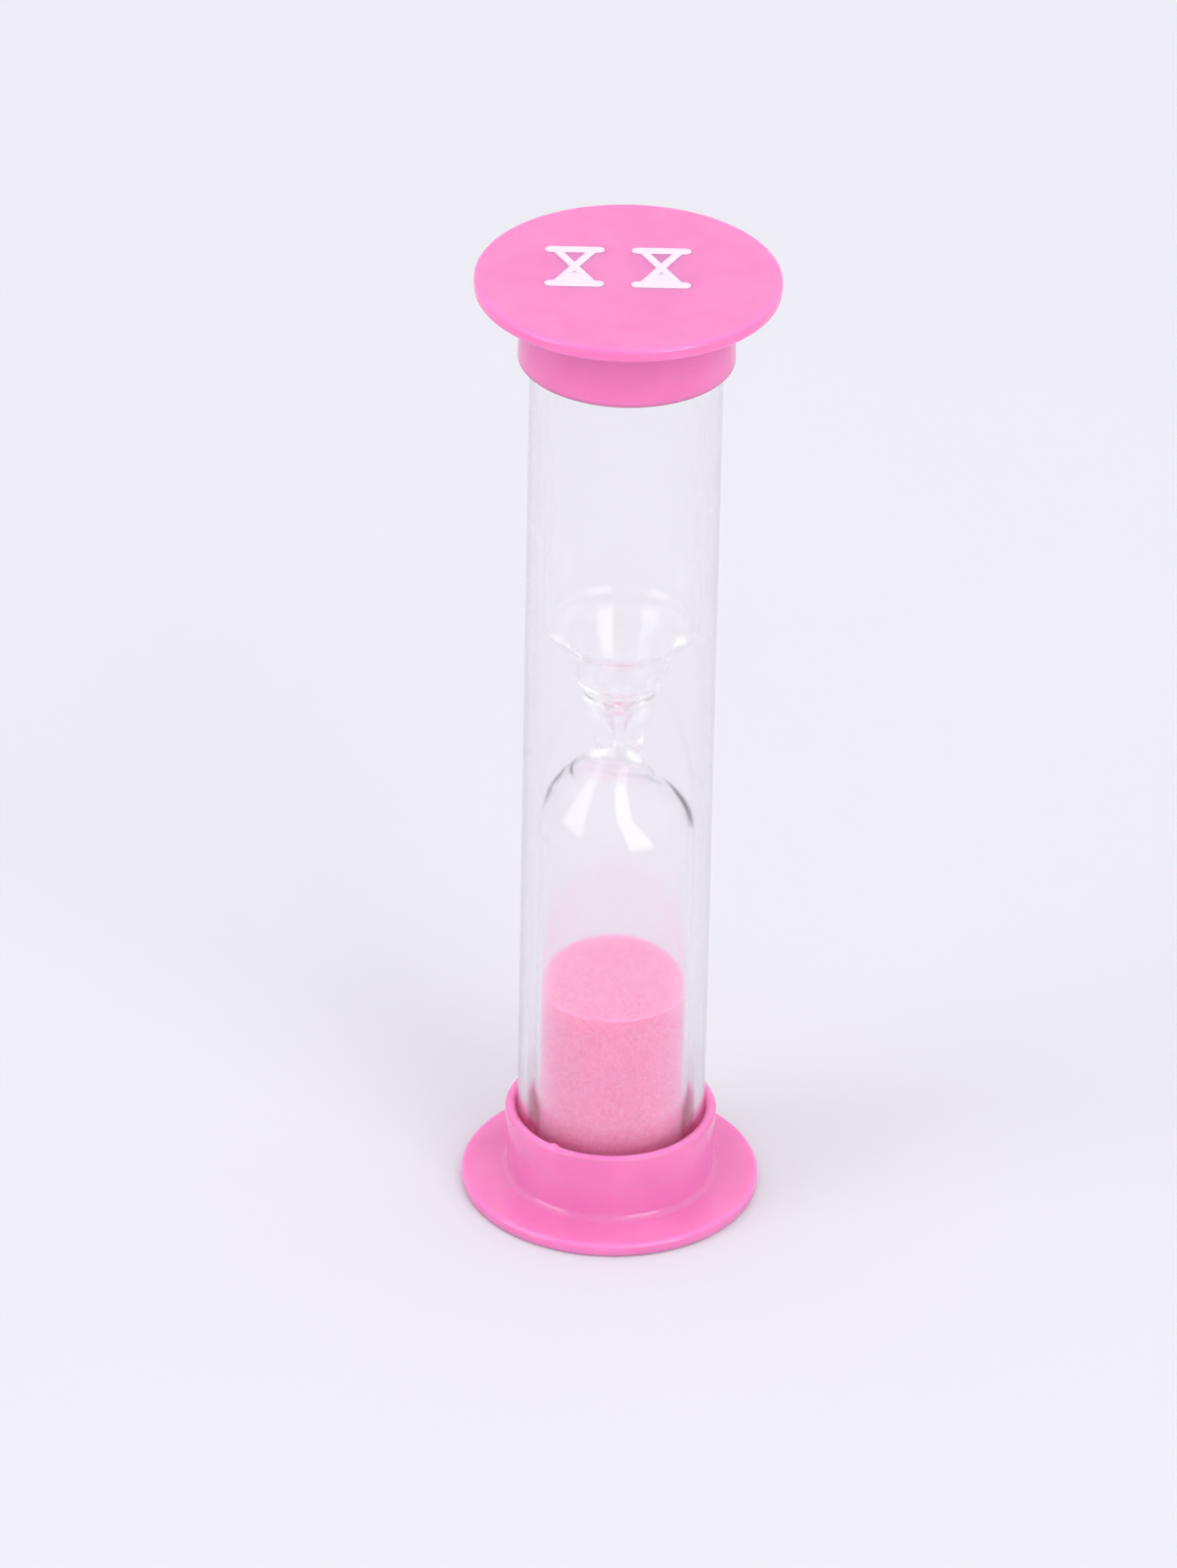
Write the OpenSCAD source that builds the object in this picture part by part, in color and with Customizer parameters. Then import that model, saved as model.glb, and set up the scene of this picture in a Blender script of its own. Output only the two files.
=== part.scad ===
// Two-minute sand timer: a glass vial of sand in a clear tube, between two push-fit caps.
// Millimetres, +Z up. The origin is the centre of the face that the timer stands on.

/* [Overall] */
// Height over both caps
total_h = 90; // [84:1:110]
// Outer diameter of the clear tube
tube_d = 16.4; // [15.6:0.2:18]
// Wall of the clear tube
tube_wall = 0.8; // [0.6:0.1:1]

/* [Caps] */
// Diameter of the end disc
disc_d = 26; // [24:0.5:32]
// Thickness of the end disc
disc_t = 1.3; // [1.2:0.1:2]
// Rounding of the end disc's edges
disc_round = 0.35; // [0.2:0.05:0.55]
// Height of a cap, from its outer face to the rim of its collar
cap_h = 8; // [6.5:0.25:9]
// Wall of the collar
collar_wall = 0.75; // [0.6:0.05:0.9]
// How far the collar flares outward from its root to its rim
collar_flare = 0.25; // [0.15:0.05:0.35]

/* [Glass vial] */
// Wall of the glass away from the neck
glass_wall = 0.4; // [0.35:0.05:0.6]
// Outer diameter of the waist
waist_d = 4.1; // [3.8:0.1:4.6]
// Diameter of the hole that the sand runs through
orifice_d = 0.7; // [0.5:0.05:1]
// Height of the waist above or below the timer's middle
waist_offset = 0; // [-3:0.5:3]

/* [Sand] */
// Height of the sand's surface at the middle, above the face that the timer stands on
sand_level = 20.9; // [12:0.1:26]
// Slope of the sand's surface, in degrees, down towards the front
sand_slope = 5; // [0:0.5:10]

/* [Printed mark] */
// Height of one hourglass symbol
symbol_h = 7; // [5:0.5:8]
// Width of one hourglass symbol
symbol_w = 5; // [4:0.5:5.5]

/* [Hidden] */
$fn = 96;

// Clearances: between pieces that sit together, between the vial and the tube, and under a cut
fit_gap = 0.05;
vial_gap = 0.7;
cut = 1;

// Cap
disc_r = disc_d / 2;
tube_r = tube_d / 2;
seat_r = tube_r + fit_gap;
seat_h = cap_h / 3;
mouth_gap = 0.1;
collar_fillet = 0.6;
collar_top_r = seat_r + collar_wall + collar_flare;

// Tube
tube_bottom = disc_t + fit_gap;
tube_h = total_h - 2 * tube_bottom;

// Vial, between its two foam pads
pad_h = 1.5;
pad_round = 0.3;
vial_r = tube_r - tube_wall - vial_gap;
pad_r = vial_r - fit_gap;
bore_r = vial_r - glass_wall;
vial_bottom = disc_t + pad_h + fit_gap;
vial_top = total_h - vial_bottom;
vial_corner = 3;
waist_z = total_h / 2 + waist_offset;
waist_r = waist_d / 2;
orifice_r = orifice_d / 2;

// Each shoulder runs from the waist as an arc, a straight funnel, a knee and a last arc into the bulb:
// [straight part of the waist, waist arc, funnel angle, knee arc, slope angle, last arc]
lower_shoulder = [0.6, 2.6, 41, 0, 41, 5];
upper_shoulder = [0.3, 3, 17, 3.5, 61, 1];

// The thick glass at the neck: how far its bore stands out from the hole's wall, at heights off the
// waist. Sand gathers in a shallow cup over the hole and falls from a flared mouth under it.
bore_flare = [
    [3.09, 6.6],
    [2.76, 5.8],
    [2.45, 5.3],
    [1.95, 4.9],
    [1.3, 4.4],
    [0.8, 3.7],
    [0.5, 2.9],
    [0.25, 2.2],
    [0.06, 1.5],
    [0, 1],
    [0.06, 0.3],
    [0.35, -0.6],
    [0.95, -1.4],
    [1.7, -2.2],
    [2.43, -2.9],
    [2.98, -3.5]
];
flare_steps = 5;

// Stopper
stopper_h = 4.2;
stopper_chamfer = 0.5;

// Printed mark
ink_depth = 0.05;
symbol_pitch = 7.3;
mark_x = -0.9;
mark_y = 1.5;
bar_h = 1;
stroke = 0.8;

// Points of an arc, from [r, z], whose direction turns from angle a0 to a1 off the vertical
function arc(start, radius, a0, a1) =
    let (side = a1 > a0 ? 1 : -1, steps = ceil(abs(a1 - a0) / 5))
    [for (i = [0 : steps])
        let (a = a0 + (a1 - a0) * i / steps)
        start + side * radius * [cos(a0) - cos(a), sin(a) - sin(a0)]];

function last(points) = points[len(points) - 1];

// Outline of one shoulder, as [radius, distance from the waist]. The funnel takes up the radius that
// the arcs leave.
function shoulder(shape) =
    let (
        funnel_a = shape[2],
        slope_a = shape[4],
        neck = arc([waist_r, shape[0]], shape[1], 0, funnel_a),
        knee_rise = shape[3] * (cos(funnel_a) - cos(slope_a)),
        bend_rise = shape[5] * (1 - cos(slope_a)),
        funnel_rise = vial_r - bend_rise - knee_rise - last(neck)[0],
        funnel_end = last(neck) + funnel_rise * [1, 1 / tan(funnel_a)],
        knee = slope_a > funnel_a ? arc(funnel_end, shape[3], funnel_a, slope_a) : [funnel_end],
        bend = arc(last(knee), shape[5], slope_a, 0)
    )
    concat(neck, knee, [for (i = [1 : len(bend) - 1]) bend[i]]);

// A smooth curve through points, as a Catmull-Rom spline
function curve_point(a, b, c, d, t) =
    (2 * b + (c - a) * t + (2 * a - 5 * b + 4 * c - d) * t * t + (3 * b - a - 3 * c + d) * t * t * t) / 2;

function smooth(points, steps) =
    let (end = len(points) - 1)
    concat(
        [for (i = [0 : end - 1], k = [0 : steps - 1])
            curve_point(points[max(i - 1, 0)], points[i], points[i + 1], points[min(i + 2, end)], k / steps)],
        [points[end]]
    );

function reversed(points) = [for (i = [len(points) - 1 : -1 : 0]) points[i]];

// Outline of a closed end whose corner is rounded, from the axis out to the wall
function rounded_end(radius, z, corner) =
    concat([[0, z]], arc([radius - corner, z], corner, 90, 0));

// Outside of the vial, from the middle of its closed end up to its open end
function vial_outside() =
    concat(
        rounded_end(vial_r, vial_bottom, vial_corner),
        [for (p = reversed(shoulder(lower_shoulder))) [p[0], waist_z - p[1]]],
        [for (p = shoulder(upper_shoulder)) [p[0], waist_z + p[1]]],
        [[vial_r, vial_top]]
    );

// Inside of the vial, from the middle of its closed end up to its open end
function vial_inside() =
    let (
        neck = [for (p = reversed(smooth(bore_flare, flare_steps))) [orifice_r + p[0], waist_z + p[1]]],
        walls = [for (p = vial_outside()) [p[0] - glass_wall, p[1]]]
    )
    concat(
        rounded_end(bore_r, vial_bottom + glass_wall, vial_corner - glass_wall),
        [for (p = walls) if (p[1] > vial_bottom + vial_corner && p[1] < neck[0][1]) p],
        neck,
        [for (p = walls) if (p[1] > last(neck)[1]) p]
    );

// Half section of an end disc, with both edges rounded
module disc_section() {
    square([disc_r - disc_round, disc_t]);
    translate([0, disc_round])
        square([disc_r, disc_t - 2 * disc_round]);
    for (z = [disc_round, disc_t - disc_round])
        translate([disc_r - disc_round, z])
            circle(disc_round);
}

// Half section of a collar: a straight seat for the tube, a slightly wider mouth and a round rim
module collar_section() {
    mouth_r = seat_r + mouth_gap;
    rim_r = (collar_top_r - mouth_r) / 2;
    rim_z = cap_h - rim_r;
    polygon([
        [seat_r, disc_t / 2],
        [seat_r + collar_wall, disc_t / 2],
        [seat_r + collar_wall, disc_t],
        [collar_top_r, rim_z],
        [mouth_r, rim_z],
        [seat_r, seat_h]
    ]);
    translate([collar_top_r - rim_r, rim_z])
        circle(rim_r);
}

// Half section of the fillet between the disc and the outside of the collar
module fillet_section() {
    root_r = seat_r + collar_wall;
    difference() {
        translate([root_r - collar_wall / 2, disc_t / 2])
            square([collar_wall / 2 + collar_fillet, disc_t / 2 + collar_fillet]);
        translate([root_r + collar_fillet, disc_t + collar_fillet])
            circle(collar_fillet);
    }
}

// One cap, standing on its disc, with the pocket that its mark fills
module cap() {
    difference() {
        rotate_extrude() {
            disc_section();
            collar_section();
            fillet_section();
        }
        mark(ink_depth, cut);
    }
}

// One hourglass symbol in outline, with sand in its lower half
module symbol() {
    bar_y = (symbol_h - bar_h) / 2;
    bar_x = (symbol_w - bar_h) / 2;
    half_w = symbol_w / 2 - bar_h / 2 - stroke / 2;
    half_h = symbol_h / 2 - bar_h / 2;
    for (y = [-bar_y, bar_y])
        translate([0, y]) {
            square([2 * bar_x, bar_h], center = true);
            for (x = [-bar_x, bar_x])
                translate([x, 0])
                    circle(bar_h / 2);
        }
    for (side = [-1, 1])
        polygon([
            [side * half_w - stroke / 2, -half_h],
            [side * half_w + stroke / 2, -half_h],
            [stroke / 2 - side * half_w, half_h],
            [-stroke / 2 - side * half_w, half_h]
        ]);
    polygon([[-half_w, -half_h], [half_w, -half_h], [0, -half_h / 3]]);
}

// The pair of symbols on the underside of a standing cap, one for each minute
module mark(depth, below = 0) {
    translate([mark_x, -mark_y, -below])
        for (x = [-symbol_pitch / 2, symbol_pitch / 2])
            translate([x, 0, 0])
                linear_extrude(depth + below)
                    mirror([0, 1])
                        symbol();
}

// Turns a piece of the bottom cap over on to the top end
module at_top() {
    translate([0, 0, total_h])
        rotate([180, 0, 0])
            children();
}

module foam_pad() {
    rotate_extrude() {
        square([pad_r - pad_round, pad_h]);
        translate([0, pad_round])
            square([pad_r, pad_h - 2 * pad_round]);
        for (z = [pad_round, pad_h - pad_round])
            translate([pad_r - pad_round, z])
                circle(pad_round);
    }
}

module bottom_cap() {
    color("hotpink")
        cap();
}

module bottom_mark() {
    color("white")
        mark(ink_depth);
}

module bottom_foam_pad() {
    color("whitesmoke")
        translate([0, 0, disc_t])
            foam_pad();
}

module outer_tube() {
    color("aliceblue", 0.3)
        translate([0, 0, tube_bottom])
            difference() {
                cylinder(r = tube_r, h = tube_h);
                translate([0, 0, -cut])
                    cylinder(r = tube_r - tube_wall, h = tube_h + 2 * cut);
            }
}

module glass_vial() {
    color("lightcyan", 0.4)
        rotate_extrude()
            polygon(concat(vial_outside(), reversed(vial_inside())));
}

module vial_stopper() {
    r = bore_r - fit_gap;
    color("snow")
        translate([0, 0, vial_top - stopper_h])
            rotate_extrude()
                polygon([
                    [0, 0],
                    [r - stopper_chamfer, 0],
                    [r, stopper_chamfer],
                    [r, stopper_h],
                    [0, stopper_h]
                ]);
}

module sand() {
    r = bore_r - fit_gap;
    bottom = vial_bottom + glass_wall + fit_gap;
    headroom = r;
    color("lightpink")
        difference() {
            rotate_extrude()
                polygon(concat(
                    rounded_end(r, bottom, vial_corner - glass_wall - fit_gap),
                    [[r, sand_level + headroom], [0, sand_level + headroom]]
                ));
            translate([0, 0, sand_level])
                rotate([sand_slope, 0, 0])
                    translate([-disc_r, -disc_r, 0])
                        cube([disc_d, disc_d, 2 * headroom]);
        }
}

module top_foam_pad() {
    color("whitesmoke")
        at_top()
            translate([0, 0, disc_t])
                foam_pad();
}

module top_cap() {
    color("hotpink")
        at_top()
            cap();
}

module top_mark() {
    color("white")
        at_top()
            mark(ink_depth);
}

bottom_cap();
bottom_mark();
bottom_foam_pad();
outer_tube();
glass_vial();
vial_stopper();
sand();
top_foam_pad();
top_cap();
top_mark();
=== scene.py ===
import math

import bpy
from mathutils import Matrix, Vector, noise


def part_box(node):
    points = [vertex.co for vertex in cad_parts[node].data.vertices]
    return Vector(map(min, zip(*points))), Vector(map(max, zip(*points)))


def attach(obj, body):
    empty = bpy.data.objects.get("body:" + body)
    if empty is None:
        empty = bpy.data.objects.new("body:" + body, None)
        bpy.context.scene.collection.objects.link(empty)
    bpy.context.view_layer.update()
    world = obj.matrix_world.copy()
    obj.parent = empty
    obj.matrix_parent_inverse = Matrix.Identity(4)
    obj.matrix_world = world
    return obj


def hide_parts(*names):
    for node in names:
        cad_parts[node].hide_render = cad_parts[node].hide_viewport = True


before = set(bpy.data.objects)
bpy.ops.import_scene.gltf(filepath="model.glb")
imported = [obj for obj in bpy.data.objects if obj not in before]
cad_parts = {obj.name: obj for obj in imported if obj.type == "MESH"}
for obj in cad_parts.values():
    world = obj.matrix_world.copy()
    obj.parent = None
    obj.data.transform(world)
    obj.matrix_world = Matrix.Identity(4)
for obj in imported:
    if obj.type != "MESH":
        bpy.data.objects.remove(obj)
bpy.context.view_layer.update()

# Everything below is in metres, in the CAD frame: +Z up, the timer standing on z = 0.
MM = 0.001

# ---------------------------------------------------------------------------------------------
# Sizes read from the frame
# ---------------------------------------------------------------------------------------------


def low(node):
    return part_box(node)[0]


def high(node):
    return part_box(node)[1]


TOTAL_H = high("top_cap").z
DISC_R = high("bottom_cap").x
CAP_H = high("bottom_cap").z
DISC_T = low("bottom_foam_pad").z
TUBE_R = high("outer_tube").x
TUBE_LOW = low("outer_tube").z
TUBE_HIGH = high("outer_tube").z
VIAL_R = high("glass_vial").x
VIAL_LOW = low("glass_vial").z
VIAL_HIGH = high("glass_vial").z
SAND_R = high("sand").x
SAND_LOW = low("sand").z
PAD_R = high("bottom_foam_pad").x
PAD_H = high("bottom_foam_pad").z - low("bottom_foam_pad").z
STOPPER_R = high("vial_stopper").x
STOPPER_LOW = low("vial_stopper").z
STOPPER_HIGH = high("vial_stopper").z

# Sizes that the CAD model also has, which its boxes don't give
TUBE_WALL = 0.8 * MM
GLASS_WALL = 0.4 * MM
WAIST_R = 2.05 * MM
ORIFICE_R = 0.35 * MM
WAIST_Z = TOTAL_H / 2
VIAL_CORNER = 3 * MM
SEAT_R = TUBE_R + 0.05 * MM
COLLAR_WALL = 0.75 * MM
COLLAR_FLARE = 0.25 * MM
SAND_LEVEL = 20.9 * MM
SAND_SLOPE = math.radians(5)
MOUTH_GAP = 0.1 * MM
RIM_ROUND = (COLLAR_WALL + COLLAR_FLARE - MOUTH_GAP) / 2
DISC_ROUND = 0.35 * MM
COLLAR_FILLET = 0.6 * MM

# Looks
INK_PROUD = 0.02 * MM
NUB_HEIGHT = 0.25 * MM
NUB_WIDTH = 0.4 * MM
NUB_ANGLE = math.radians(236)
COLLAR_WAVINESS = 0.05 * MM
DISC_WAVINESS = 0.04 * MM
RIPPLE_DEPTH = 0.03 * MM
RIPPLE_PITCH = 0.9 * MM
RIPPLE_MIDDLE = 6 * MM
RIPPLE_REACH = 1.8 * MM
SHOULDER_SHIFT = 0.5 * MM
SHOULDER_TILT = 0.08

# Number of faces around a turned piece
ROUND_STEPS = 192
VIAL_STEPS = 256
TUBE_STEPS = 384
PAD_STEPS = 96
SAND_STEPS = 320

# ---------------------------------------------------------------------------------------------
# Outlines and lathe
# ---------------------------------------------------------------------------------------------


def arc(start, radius, a0, a1, step=3):
    """Points from start (r, z) along an arc that turns from a0 to a1 degrees off the vertical."""
    side = 1 if a1 > a0 else -1
    count = max(2, math.ceil(abs(a1 - a0) / step))
    points = []
    for i in range(count + 1):
        a = math.radians(a0 + (a1 - a0) * i / count)
        r = start[0] + side * radius * (math.cos(math.radians(a0)) - math.cos(a))
        z = start[1] + side * radius * (math.sin(a) - math.sin(math.radians(a0)))
        points.append((r, z))
    return points


def straight(a, b, count):
    """Points between a and b, without either."""
    return [(a[0] + (b[0] - a[0]) * i / count, a[1] + (b[1] - a[1]) * i / count) for i in range(1, count)]


def faces_between(rings, steps, closed=False):
    """Faces that join each ring of points to the next. A ring of one point is a pole."""
    faces = []
    pairs = list(zip(rings, rings[1:])) + ([(rings[-1], rings[0])] if closed else [])
    for a, b in pairs:
        for k in range(steps):
            n = (k + 1) % steps
            if len(a) == 1:
                faces.append((a[0], b[n], b[k]))
            elif len(b) == 1:
                faces.append((a[k], a[n], b[0]))
            else:
                faces.append((a[k], a[n], b[n], b[k]))
    return faces


def lathe(name, outline, steps=ROUND_STEPS, closed=False, shape=None):
    """A mesh turned from outline, a list of (r, z). shape(r, angle, z) may move each point."""
    verts, rings = [], []
    for r, z in outline:
        if r < 1e-9:
            rings.append([len(verts)])
            verts.append(shape(0, 0, z) if shape else (0, 0, z))
            continue
        ring = []
        for k in range(steps):
            angle = 2 * math.pi * k / steps
            ring.append(len(verts))
            verts.append(shape(r, angle, z) if shape else (r * math.cos(angle), r * math.sin(angle), z))
        rings.append(ring)
    return mesh_object(name, verts, faces_between(rings, steps, closed))


def mesh_object(name, verts, faces, sharp_angle=40):
    mesh = bpy.data.meshes.new(name)
    mesh.from_pydata(verts, [], faces)
    mesh.validate()
    mesh.polygons.foreach_set("use_smooth", [True] * len(mesh.polygons))
    mesh.set_sharp_from_angle(angle=math.radians(sharp_angle))
    mesh.update()
    obj = bpy.data.objects.new(name, mesh)
    bpy.context.scene.collection.objects.link(obj)
    return obj


def place(obj, material, body, slot, *nodes):
    """Gives a piece its material and body, and hides the CAD nodes that it stands for."""
    obj.data.materials.append(material)
    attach(obj, body)
    if nodes:
        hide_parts(*nodes)
    return obj


# ---------------------------------------------------------------------------------------------
# Materials
# ---------------------------------------------------------------------------------------------


def srgb(r, g, b):
    """Linear colour of 8-bit sRGB values."""
    def linear(v):
        v /= 255
        return v / 12.92 if v <= 0.04045 else ((v + 0.055) / 1.055) ** 2.4
    return (linear(r), linear(g), linear(b), 1)


class Paint:
    """A node material around one Principled shader."""

    def __init__(self, name, **sockets):
        self.material = bpy.data.materials.new(name)
        self.material.use_nodes = True
        self.nodes = self.material.node_tree.nodes
        self.links = self.material.node_tree.links
        self.shader = self.nodes["Principled BSDF"]
        for socket, value in sockets.items():
            self.shader.inputs[socket.replace("_", " ")].default_value = value
        self.where = self.nodes.new("ShaderNodeTexCoord").outputs["Object"]

    def noise(self, scale, detail=2, stretch=(1, 1, 1), distortion=0):
        mapping = self.nodes.new("ShaderNodeMapping")
        mapping.inputs["Scale"].default_value = stretch
        self.links.new(self.where, mapping.inputs["Vector"])
        node = self.nodes.new("ShaderNodeTexNoise")
        node.inputs["Scale"].default_value = scale
        node.inputs["Detail"].default_value = detail
        node.inputs["Distortion"].default_value = distortion
        self.links.new(mapping.outputs["Vector"], node.inputs["Vector"])
        return node.outputs["Fac"]

    def cells(self, scale, output="Distance", feature="F1"):
        node = self.nodes.new("ShaderNodeTexVoronoi")
        node.feature = feature
        node.inputs["Scale"].default_value = scale
        self.links.new(self.where, node.inputs["Vector"])
        return node.outputs[output]

    def spread(self, value, low_value, high_value, start=0.3, end=0.7):
        """Maps start..end of a value on to a range."""
        node = self.nodes.new("ShaderNodeMapRange")
        node.inputs["From Min"].default_value = start
        node.inputs["From Max"].default_value = end
        node.inputs["To Min"].default_value = low_value
        node.inputs["To Max"].default_value = high_value
        self.links.new(value, node.inputs["Value"])
        return node.outputs["Result"]

    def blend(self, factor, first, second):
        node = self.nodes.new("ShaderNodeMix")
        node.data_type = "RGBA"
        for socket, value in ((6, first), (7, second)):
            if hasattr(value, "is_linked"):
                self.links.new(value, node.inputs[socket])
            else:
                node.inputs[socket].default_value = value
        self.links.new(factor, node.inputs[0])
        return node.outputs[2]

    def absorb(self, colour, density):
        """Darkens light along its path through the material; density is per metre."""
        node = self.nodes.new("ShaderNodeVolumeAbsorption")
        node.inputs["Color"].default_value = colour
        node.inputs["Density"].default_value = density
        output = self.nodes["Material Output"]
        self.links.new(node.outputs["Volume"], output.inputs["Volume"])

    def drive(self, socket, value):
        self.links.new(value, self.shader.inputs[socket])

    def bump(self, height, depth, strength=1.0):
        node = self.nodes.new("ShaderNodeBump")
        node.inputs["Strength"].default_value = strength
        node.inputs["Distance"].default_value = depth
        self.links.new(height, node.inputs["Height"])
        previous = self.shader.inputs["Normal"].links
        if previous:
            self.links.new(previous[0].from_socket, node.inputs["Normal"])
        self.links.new(node.outputs["Normal"], self.shader.inputs["Normal"])


def cap_plastic():
    paint = Paint("pink_cap_plastic", IOR=1.49, Subsurface_Weight=0.9, Subsurface_Scale=2.2 * MM)
    paint.shader.inputs["Subsurface Radius"].default_value = (1.0, 0.4, 0.65)
    paint.shader.inputs["Specular IOR Level"].default_value = 0.35
    tone = paint.spread(paint.noise(260, 3), 0, 1)
    paint.drive("Base Color", paint.blend(tone, srgb(220, 118, 174), srgb(226, 126, 180)))
    paint.drive("Roughness", paint.spread(paint.noise(900, 4), 0.09, 0.14))
    paint.bump(paint.noise(420, 1), 0.01 * MM)
    return paint.material


def ink():
    paint = Paint("white_ink_print", IOR=1.45)
    cover = paint.spread(paint.noise(2600, 4), 0, 1, 0.35, 0.75)
    paint.drive("Base Color", paint.blend(cover, srgb(232, 203, 225), srgb(238, 218, 234)))
    paint.drive("Roughness", paint.spread(paint.noise(1800, 3), 0.42, 0.6))
    paint.bump(paint.noise(4200, 3), 0.004 * MM)
    return paint.material


def clear_plastic():
    paint = Paint("clear_tube_plastic", IOR=1.49, Transmission_Weight=1.0)
    tone = paint.spread(paint.noise(90, 2), 0, 1)
    paint.drive("Base Color", paint.blend(tone, (0.994, 0.993, 0.997, 1), (0.999, 0.999, 1, 1)))
    paint.drive("Roughness", paint.spread(paint.noise(300, 2), 0.08, 0.11))
    paint.absorb((0.35, 0.12, 0.35, 1), 28)
    return paint.material


def vial_glass():
    paint = Paint("vial_glass_clear", IOR=1.5, Transmission_Weight=1.0)
    tone = paint.spread(paint.noise(120, 2), 0, 1)
    paint.drive("Base Color", paint.blend(tone, (0.996, 0.998, 0.997, 1), (1, 1, 1, 1)))
    paint.drive("Roughness", paint.spread(paint.noise(500, 2), 0.02, 0.04))
    return paint.material


def dyed_sand():
    paint = Paint("pink_dyed_sand", IOR=1.45, Subsurface_Weight=0.9, Subsurface_Scale=3.5 * MM)
    paint.shader.inputs["Subsurface Radius"].default_value = (1.0, 0.3, 0.5)
    grain = paint.spread(paint.cells(6500, "Color"), 0, 1, 0.1, 0.9)
    patch = paint.blend(paint.spread(paint.noise(500, 3), 0, 1), srgb(224, 122, 163), srgb(228, 131, 172))
    paint.drive("Base Color", paint.blend(grain, patch, srgb(231, 154, 188)))
    paint.shader.inputs["Roughness"].default_value = 0.85
    paint.bump(paint.cells(6500), 0.05 * MM, 0.7)
    return paint.material


def foam():
    paint = Paint("white_foam", IOR=1.4, Subsurface_Weight=0.3, Subsurface_Scale=0.5 * MM)
    # Painted shade: the foam is coloured darker in the pits of its pores, where the bump sinks in.
    pit_shade = paint.spread(paint.cells(3600), 0, 1, 0.0, 0.5)
    paint.drive("Base Color", paint.blend(pit_shade, srgb(214, 214, 212), srgb(246, 246, 244)))
    paint.shader.inputs["Roughness"].default_value = 0.9
    paint.bump(paint.cells(3600), 0.08 * MM, 0.8)
    return paint.material


def stopper_rubber():
    paint = Paint("soft_stopper", IOR=1.45, Subsurface_Weight=0.5, Subsurface_Scale=1.5 * MM)
    tone = paint.spread(paint.noise(400), 0, 1)
    paint.drive("Base Color", paint.blend(tone, srgb(232, 232, 228), srgb(243, 243, 240)))
    paint.drive("Roughness", paint.spread(paint.noise(1500, 3), 0.4, 0.55))
    paint.bump(paint.noise(2500, 3), 0.01 * MM)
    return paint.material


# ---------------------------------------------------------------------------------------------
# Pieces
# ---------------------------------------------------------------------------------------------


def cap_outline():
    """Half section of a cap on its disc, from the middle of its underside to the socket's floor."""
    under = INK_PROUD
    edge = DISC_R - DISC_ROUND
    root = SEAT_R + COLLAR_WALL
    rim_out = root + COLLAR_FLARE
    rim_z = CAP_H - RIM_ROUND
    rim_in = rim_out - 2 * RIM_ROUND
    points = [(0, under)] + straight((0, under), (edge, under), 24)
    points += arc((edge, under), DISC_ROUND, 90, 0, 10)
    points += arc((DISC_R, DISC_T - DISC_ROUND), DISC_ROUND, 0, -90, 10)
    fillet_r = root + COLLAR_FILLET
    points += straight((edge, DISC_T), (fillet_r, DISC_T), 4)
    for i in range(10):
        a = math.radians(90 * i / 9)
        points.append((fillet_r - COLLAR_FILLET * math.sin(a), DISC_T + COLLAR_FILLET * (1 - math.cos(a))))
    points += straight((root, DISC_T + COLLAR_FILLET), (rim_out, rim_z), 14)
    for degrees in range(0, 181, 15):
        a = math.radians(degrees)
        points.append((rim_out - RIM_ROUND * (1 - math.cos(a)), rim_z + RIM_ROUND * math.sin(a)))
    points += straight((rim_in, rim_z), (SEAT_R, CAP_H / 3), 10)
    points += [(SEAT_R, CAP_H / 3), (SEAT_R, DISC_T), (0, DISC_T)]
    return points


def make_cap(name, upside_down, material, body):
    """A cap with the slight waviness and the flash nub that a moulding has."""
    seed = Vector((3.1, 7.7, 1.9 if upside_down else 5.3))

    def shape(r, angle, z):
        wave = noise.noise(Vector((math.cos(angle), math.sin(angle), z * 60)) * 1.3 + seed)
        if r > TUBE_R and z > DISC_T + COLLAR_FILLET:
            r += COLLAR_WAVINESS * wave
        elif z > RIM_ROUND and r > SEAT_R + COLLAR_WALL:
            z += DISC_WAVINESS * (wave - 1) * (r / DISC_R) ** 2
        if z > CAP_H - RIM_ROUND:
            away = (angle - NUB_ANGLE) * r / NUB_WIDTH
            z -= NUB_HEIGHT * (1 - math.exp(-away * away))
        x, y = r * math.cos(angle), r * math.sin(angle)
        return (x, -y, TOTAL_H - z) if upside_down else (x, y, z)

    obj = lathe(name + "_shell", cap_outline(), shape=shape)
    return place(obj, material, body, "pink_cap", name)


def shoulder(waist_flat, waist_arc, funnel_angle, knee_arc, slope_angle, last_arc):
    """Outline of one shoulder of the vial, as (radius, distance from the waist).

    The straight funnel takes up what the arcs leave.
    """
    funnel, slope = math.radians(funnel_angle), math.radians(slope_angle)
    neck = arc((WAIST_R, waist_flat), waist_arc, 0, funnel_angle)
    knee_rise = knee_arc * (math.cos(funnel) - math.cos(slope))
    bend_rise = last_arc * (1 - math.cos(slope))
    funnel_rise = VIAL_R - bend_rise - knee_rise - neck[-1][0]
    end = (neck[-1][0] + funnel_rise, neck[-1][1] + funnel_rise / math.tan(funnel))
    knee = arc(end, knee_arc, funnel_angle, slope_angle) if slope_angle > funnel_angle else [end]
    return neck + straight(neck[-1], end, 16) + knee + arc(knee[-1], last_arc, slope_angle, 0)[1:]


def smooth(points, steps):
    """A Catmull-Rom curve through points."""
    last = len(points) - 1
    curve = []
    for i in range(last):
        a, b, c, d = (Vector(points[j]) for j in (max(i - 1, 0), i, i + 1, min(i + 2, last)))
        for k in range(steps):
            t = k / steps
            curve.append(tuple((2 * b + (c - a) * t + (2 * a - 5 * b + 4 * c - d) * t * t
                                + (3 * b - a - 3 * c + d) * t * t * t) / 2))
    return curve + [tuple(points[last])]


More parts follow.
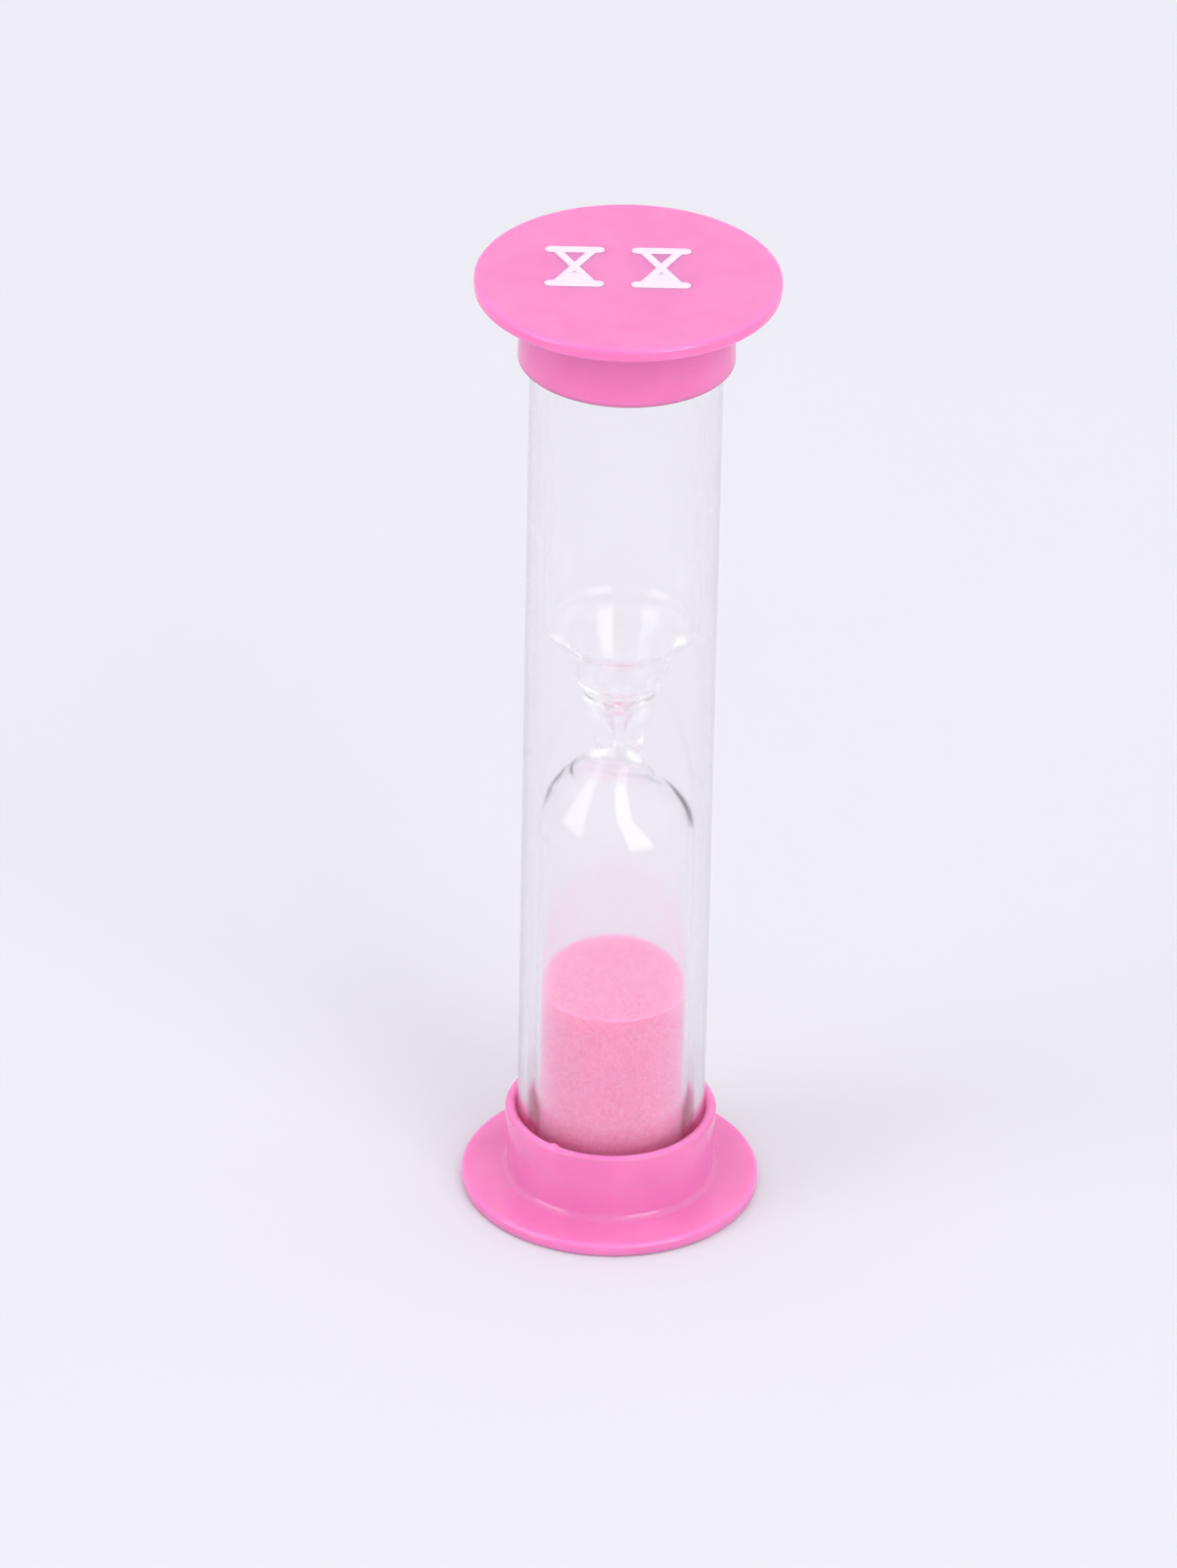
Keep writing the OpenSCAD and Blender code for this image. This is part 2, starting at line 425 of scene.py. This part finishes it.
# The bore of the neck: how far it stands out from the hole's wall, at heights off the waist, in mm
BORE_FLARE = [
    (3.09, 6.6), (2.76, 5.8), (2.45, 5.3), (1.95, 4.9), (1.3, 4.4), (0.8, 3.7), (0.5, 2.9), (0.25, 2.2),
    (0.06, 1.5), (0, 1), (0.06, 0.3), (0.35, -0.6), (0.95, -1.4), (1.7, -2.2), (2.43, -2.9), (2.98, -3.5),
]


def vial_outside():
    """The glass from the middle of its closed end up to its open end."""
    lower = shoulder(0.6 * MM, 2.6 * MM, 41, 0, 41, 5 * MM)
    upper = shoulder(0.3 * MM, 3 * MM, 17, 3.5 * MM, 61, 1 * MM)
    corner = arc((VIAL_R - VIAL_CORNER, VIAL_LOW), VIAL_CORNER, 90, 0)
    points = [(0, VIAL_LOW)] + straight((0, VIAL_LOW), corner[0], 4) + corner
    below = [(r, WAIST_Z - d) for r, d in reversed(lower)]
    points += straight(corner[-1], below[0], 12) + below
    above = [(r, WAIST_Z + d) for r, d in upper]
    points += above + straight(above[-1], (VIAL_R, VIAL_HIGH), 12)
    return points + [(VIAL_R, VIAL_HIGH)]


def vial_inside():
    """The bore, the same way: the outside less the wall, but for the shaped neck."""
    bore = VIAL_R - GLASS_WALL
    floor = VIAL_LOW + GLASS_WALL
    corner = arc((VIAL_R - VIAL_CORNER, floor), VIAL_CORNER - GLASS_WALL, 90, 0)
    neck = [(ORIFICE_R + r * MM, WAIST_Z + z * MM) for r, z in reversed(smooth(BORE_FLARE, 10))]
    neck = [(r + ripple(z - WAIST_Z), z) for r, z in neck]
    walls = [(r - GLASS_WALL, z) for r, z in vial_outside()]
    points = [(0, floor)] + straight((0, floor), corner[0], 4) + corner
    points += [(r, z) for r, z in walls if VIAL_LOW + VIAL_CORNER + 0.01 * MM < z < neck[0][1]]
    return points + neck + [(r + ripple(z - WAIST_Z), z) for r, z in walls if z > neck[-1][1]]


def ripple(height):
    """The rings that drawing the glass leaves in the upper funnel, fading out above and below."""
    fade = max(0, 1 - ((height - RIPPLE_MIDDLE) / RIPPLE_REACH) ** 2)
    return RIPPLE_DEPTH * fade * math.sin(2 * math.pi * height / RIPPLE_PITCH)


def ease(t):
    """0 to 1 with a soft start and end."""
    t = max(0, min(1, t))
    return t * t * (3 - 2 * t)


def lopsided(r, angle, z):
    """The lower shoulder sits to the left of the neck and tilts, as flame-worked glass does."""
    below = (WAIST_Z - z) / MM
    fade_length, end = 3.5, 7.9
    share = ease(below / fade_length) * ease((end - below) / fade_length)
    x = r * math.cos(angle)
    return (x - SHOULDER_SHIFT * share, r * math.sin(angle), z - SHOULDER_TILT * share * x)


def make_vial(material):
    outline = vial_outside() + list(reversed(vial_inside()))
    obj = lathe("blown_glass_vial", outline, steps=VIAL_STEPS, shape=lopsided)
    return place(obj, material, "timer_tube", "vial_glass", "glass_vial")


def make_tube(material):
    inner = TUBE_R - TUBE_WALL
    edge = 0.12 * MM
    outline = [(inner + edge, TUBE_LOW), (TUBE_R - edge, TUBE_LOW), (TUBE_R, TUBE_LOW + edge)]
    outline += straight((TUBE_R, TUBE_LOW + edge), (TUBE_R, TUBE_HIGH - edge), 24)
    outline += [(TUBE_R, TUBE_HIGH - edge), (TUBE_R - edge, TUBE_HIGH), (inner + edge, TUBE_HIGH)]
    outline += [(inner, TUBE_HIGH - edge)]
    outline += straight((inner, TUBE_HIGH - edge), (inner, TUBE_LOW + edge), 24)
    outline += [(inner, TUBE_LOW + edge)]
    obj = lathe("clear_tube", outline, steps=TUBE_STEPS, closed=True)
    return place(obj, material, "timer_tube", "clear_tube", "outer_tube")


def make_stopper(material):
    edge = 0.35 * MM
    rib = 0.12 * MM
    hollow = 1.2 * MM
    outline = [(0, STOPPER_LOW + hollow), (STOPPER_R * 0.62, STOPPER_LOW + hollow)]
    outline += [(STOPPER_R * 0.68, STOPPER_LOW + 0.3 * MM), (STOPPER_R * 0.74, STOPPER_LOW)]
    outline += [(STOPPER_R - 2 * edge, STOPPER_LOW), (STOPPER_R - edge, STOPPER_LOW + 0.1 * MM)]
    height = STOPPER_HIGH - STOPPER_LOW
    for i in range(25):
        t = i / 24
        z = STOPPER_LOW + 0.4 * MM + t * (height - 0.7 * MM)
        outline.append((STOPPER_R - rib * (0.5 + 0.5 * math.cos(6 * math.pi * t)), z))
    outline += [(STOPPER_R - 0.3 * MM, STOPPER_HIGH), (0, STOPPER_HIGH)]
    obj = lathe("ribbed_stopper", outline)
    return place(obj, material, "timer_tube", "stopper", "vial_stopper")


def make_pad(name, material, body, z_low):
    rim = 0.3 * MM
    outline = [(0, z_low)] + straight((0, z_low), (PAD_R - rim, z_low), 12)
    outline += arc((PAD_R - rim, z_low), rim, 90, 0, 15)
    outline += arc((PAD_R, z_low + PAD_H - rim), rim, 0, -90, 15)
    outline += straight((PAD_R - rim, z_low + PAD_H), (0, z_low + PAD_H), 12) + [(0, z_low + PAD_H)]
    obj = lathe(name + "_disc", outline, steps=PAD_STEPS)
    return place(obj, material, body, "foam", name)


def sand_height(x, y):
    """Height of the heap's surface: lower at the front, with a low mound and fine unevenness."""
    r = math.hypot(x, y) / SAND_R
    z = SAND_LEVEL + math.tan(SAND_SLOPE) * y
    z += 0.10 * MM * (1 - r * r)
    z += 0.10 * MM * noise.noise(Vector((x, y, 0.0)) * 420)
    z += 0.05 * MM * noise.noise(Vector((x, y, 0.01)) * 2200)
    z += 0.04 * MM * noise.noise(Vector((x, y, 0.02)) * 5600)
    return z


def make_sand(material):
    """The heap: a round corner at the bottom, a side as high as the surface, and the surface."""
    corner = VIAL_CORNER - GLASS_WALL - 0.05 * MM
    side = arc((SAND_R - corner, SAND_LOW), corner, 90, 0)
    rows_side, rows_top = 70, 72
    verts, rings = [(0, 0, SAND_LOW)], [[0]]

    def add_ring(points):
        ring = list(range(len(verts), len(verts) + SAND_STEPS))
        verts.extend(points)
        rings.append(ring)

    def wall_point(r, angle, z):
        x, y = r * math.cos(angle), r * math.sin(angle)
        dent = 0.01 * MM * (1 + noise.noise(Vector((x, y, z)) * 5200))
        return ((r - dent) * math.cos(angle), (r - dent) * math.sin(angle), z)

    angles = [2 * math.pi * k / SAND_STEPS for k in range(SAND_STEPS)]
    for r, z in side:
        add_ring([wall_point(r, a, z) for a in angles])
    start = SAND_LOW + corner
    for i in range(1, rows_side + 1):
        t = i / rows_side
        ring = []
        for a in angles:
            top = sand_height(SAND_R * math.cos(a), SAND_R * math.sin(a))
            ring.append(wall_point(SAND_R, a, start + t * (top - start)))
        add_ring(ring)
    for i in range(1, rows_top):
        r = SAND_R * (1 - i / rows_top)
        flat = [(r * math.cos(a), r * math.sin(a)) for a in angles]
        add_ring([(x, y, sand_height(x, y)) for x, y in flat])
    rings.append([len(verts)])
    verts.append((0, 0, sand_height(0, 0)))
    obj = mesh_object("sand_heap", verts, faces_between(rings, SAND_STEPS), 180)
    return place(obj, material, "timer_tube", "pink_sand", "sand")


plastic = cap_plastic()
foam_white = foam()
make_cap("bottom_cap", False, plastic, "base")
make_cap("top_cap", True, plastic, "top")
make_pad("bottom_foam_pad", foam_white, "base", low("bottom_foam_pad").z)
make_pad("top_foam_pad", foam_white, "top", low("top_foam_pad").z)
make_tube(clear_plastic())
make_vial(vial_glass())
make_stopper(stopper_rubber())
make_sand(dyed_sand())
ink_white = ink()
for node in ("bottom_mark", "top_mark"):
    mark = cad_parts[node]
    mark.data.materials.clear()
    mark.data.materials.append(ink_white)

# ---------------------------------------------------------------------------------------------
# Floor, light and camera
# ---------------------------------------------------------------------------------------------


LEFT_AZIMUTH = -65
RIGHT_AZIMUTH = 36
PANEL_DISTANCE = 1.5
PANEL_WIDTH = 0.95
PANEL_FOOT = 0.05
SOFTBOX_HEIGHT = 2.0
STRIP_HEIGHT = 0.18
LIGHT_BOUNCES = 128


def make_floor():
    size = 4.0
    corners = [(-size, -size, 0), (size, -size, 0), (size, size, 0), (-size, size, 0)]
    obj = mesh_object("floor", corners, [(0, 1, 2, 3)])
    paint = Paint("pale_floor", IOR=1.4)
    tone = paint.spread(paint.noise(6, 3), 0, 1)
    paint.drive("Base Color", paint.blend(tone, srgb(206, 206, 210), srgb(209, 209, 213)))
    paint.shader.inputs["Roughness"].default_value = 0.7
    paint.shader.inputs["Specular IOR Level"].default_value = 0
    obj.data.materials.append(paint.material)


def make_softbox(name, azimuth, height, power, glints_only=False):
    """A standing panel at an azimuth off the camera's side (-Y), turned to face the timer."""
    data = bpy.data.lights.new(name, "AREA")
    data.shape = "RECTANGLE"
    data.size = PANEL_WIDTH
    data.size_y = height
    data.energy = power
    obj = bpy.data.objects.new(name, data)
    bpy.context.scene.collection.objects.link(obj)
    a = math.radians(azimuth)
    away = Vector((math.sin(a), -math.cos(a), 0))
    obj.location = away * PANEL_DISTANCE + Vector((0, 0, PANEL_FOOT + height / 2))
    obj.rotation_euler = away.to_track_quat("Z", "Y").to_euler()
    obj.visible_camera = False
    obj.visible_diffuse = not glints_only


def make_world():
    """A light tent: a pale dome that is a little brighter overhead."""
    world = bpy.data.worlds.new("studio")
    world.use_nodes = True
    bpy.context.scene.world = world
    nodes = world.node_tree.nodes
    links = world.node_tree.links
    coordinates = nodes.new("ShaderNodeTexCoord")
    split = nodes.new("ShaderNodeSeparateXYZ")
    links.new(coordinates.outputs["Generated"], split.inputs["Vector"])
    height = nodes.new("ShaderNodeMapRange")
    height.inputs["From Min"].default_value = 0
    height.inputs["From Max"].default_value = 1
    height.inputs["To Min"].default_value = 0.83
    height.inputs["To Max"].default_value = 1.55
    links.new(split.outputs["Z"], height.inputs["Value"])
    background = nodes["Background"]
    background.inputs["Color"].default_value = srgb(241, 239, 244)
    links.new(height.outputs["Result"], background.inputs["Strength"])


def make_camera():
    elevation = math.radians(30.9)
    distance = 1.0
    target = Vector((-2.51 * MM, 0, 40.2 * MM))
    roll = math.radians(1.14)
    data = bpy.data.cameras.new("camera")
    data.sensor_fit = "HORIZONTAL"
    data.sensor_width = 36
    data.lens = 355
    data.clip_start = 0.01
    camera = bpy.data.objects.new("camera", data)
    bpy.context.scene.collection.objects.link(camera)
    back = Vector((0, -math.cos(elevation), math.sin(elevation)))
    turn = Matrix.Rotation(math.pi / 2 - elevation, 4, "X") @ Matrix.Rotation(roll, 4, "Z")
    camera.matrix_world = Matrix.Translation(target + back * distance) @ turn
    bpy.context.scene.camera = camera


make_floor()
make_softbox("left_softbox", LEFT_AZIMUTH, SOFTBOX_HEIGHT, 10)
make_softbox("right_softbox", RIGHT_AZIMUTH, SOFTBOX_HEIGHT, 14)
# Low, bright strips that show only in reflections and through the clear pieces
make_softbox("left_glint", LEFT_AZIMUTH, STRIP_HEIGHT, 14, glints_only=True)
make_softbox("right_glint", RIGHT_AZIMUTH, STRIP_HEIGHT, 14, glints_only=True)
make_world()
make_camera()
bpy.context.scene.view_settings.view_transform = "Standard"
# Light bounces many times between the walls of the tube and the vial, so it is followed to the end
bpy.context.scene.cycles.blur_glossy = 0
bpy.context.scene.cycles.max_bounces = LIGHT_BOUNCES
bpy.context.scene.cycles.transmission_bounces = LIGHT_BOUNCES
bpy.context.scene.cycles.glossy_bounces = LIGHT_BOUNCES
